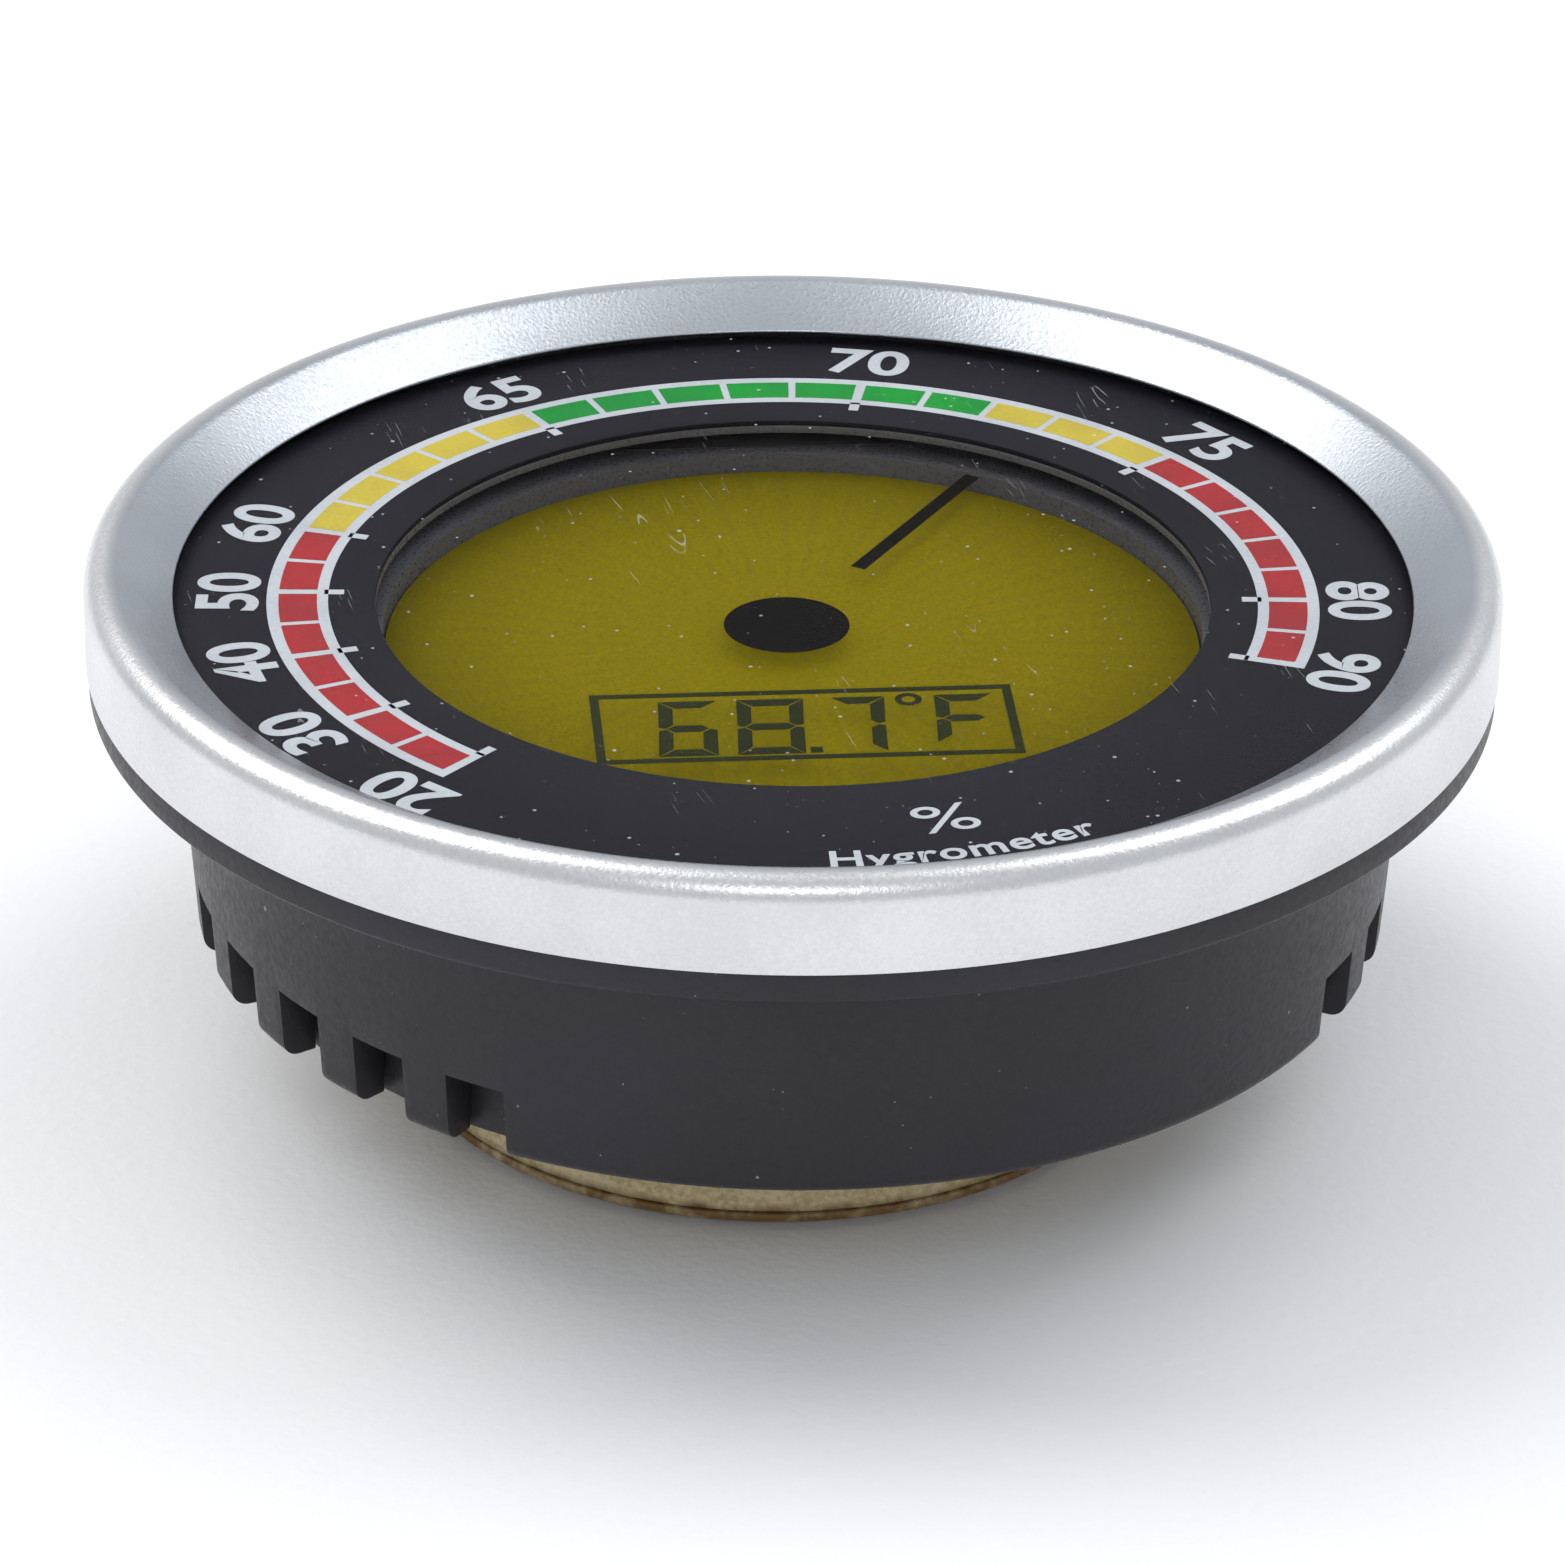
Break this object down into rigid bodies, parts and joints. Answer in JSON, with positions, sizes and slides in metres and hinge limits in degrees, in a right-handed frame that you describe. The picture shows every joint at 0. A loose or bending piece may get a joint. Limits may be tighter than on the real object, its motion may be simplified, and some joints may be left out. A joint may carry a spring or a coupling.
{
  "type": "dial hygrometer",
  "caption": "Round panel hygrometer: metal bezel, printed scale, liquid crystal display, vented black spigot housing, magnetic base plate",
  "frame": {"origin": "centre of the face it stands on, the underside of the base plate's pad", "axes": "+Z out through the lens, +Y to 12 o'clock of the scale, +X to 3 o'clock"},
  "size_m": [0.0698, 0.0698, 0.0276],
  "materials": {
    "bezel": "satin silver metal",
    "lens": "clear",
    "dial_print": "printed, satin black",
    "print_white": "screen print",
    "print_red": "screen print",
    "print_yellow": "screen print",
    "print_green": "screen print",
    "dark_frame": "satin charcoal",
    "lcd_glass": "clear",
    "lcd_reflector": "olive yellow film",
    "lcd_segments": "dark segments",
    "rubber": "soft, dark",
    "board": "green solder mask",
    "epoxy": "black epoxy",
    "steel": "plated",
    "sensor_cap": "white",
    "component": "ceramic and black",
    "housing": "black satin with a fine grain",
    "filter": "white membrane",
    "contact": "gold plated",
    "seal": "black",
    "foam": "white foam tape",
    "plated_steel": "yellow passivated, stained near the edge",
    "magnet": "ferrite",
    "button": "dark grey"
  },
  "bodies": {
    "case": {"bezel": "bezel", "lens": "lens", "dial_ring": "dial_print", "lcd_frame": "dark_frame", "lcd_front_glass": "lcd_glass", "lcd_rear_glass": "lcd_glass", "lcd_reflector": "lcd_reflector", "lcd_holder": "dark_frame", "zebra_strips": "rubber", "main_board": "board", "controller_chip": "epoxy", "crystal": "steel", "humidity_sensor": "sensor_cap", "thermistor": "epoxy", "capacitors": "component", "resistors": "component", "tact_switches": "steel", "board_screws": "steel", "housing": "housing", "rear_cover": "housing", "sensor_filter": "filter", "cover_screws": "steel", "battery": "steel", "positive_contact": "contact", "negative_contact": "contact"},
    "door": {"battery_door": "housing", "door_seal": "seal", "magnet_foam": "foam", "magnet_cup": "plated_steel", "magnet": "magnet"},
    "plate": {"mounting_plate": "plated_steel", "plate_pad": "foam"},
    "up_key": {"up_button": "button", "up_plunger": "seal"},
    "down_key": {"down_button": "button", "down_plunger": "seal"},
    "unit_key": {"unit_button": "button", "unit_plunger": "seal"}
  },
  "joints": [
    {"name": "door_twist", "type": "hinge", "parent": "case", "child": "door", "pos_m": [0, 0, 0.00725], "axis": [0, 0, -1], "range_deg": [0, 40]},
    {"name": "plate_pull", "type": "slide", "parent": "door", "child": "plate", "axis": [0, 0, -1], "range_m": [0, 0.02]},
    {"name": "up_press", "type": "slide", "parent": "case", "child": "up_key", "axis": [0, 0, 1], "range_m": [0, 0.00045], "stiffness_N_per_m": 2500, "springref_m": -0.0002},
    {"name": "down_press", "type": "slide", "parent": "case", "child": "down_key", "axis": [0, 0, 1], "range_m": [0, 0.00045], "stiffness_N_per_m": 2500, "springref_m": -0.0002},
    {"name": "unit_press", "type": "slide", "parent": "case", "child": "unit_key", "axis": [0, 0, 1], "range_m": [0, 0.00045], "stiffness_N_per_m": 2500, "springref_m": -0.0002}
  ]
}
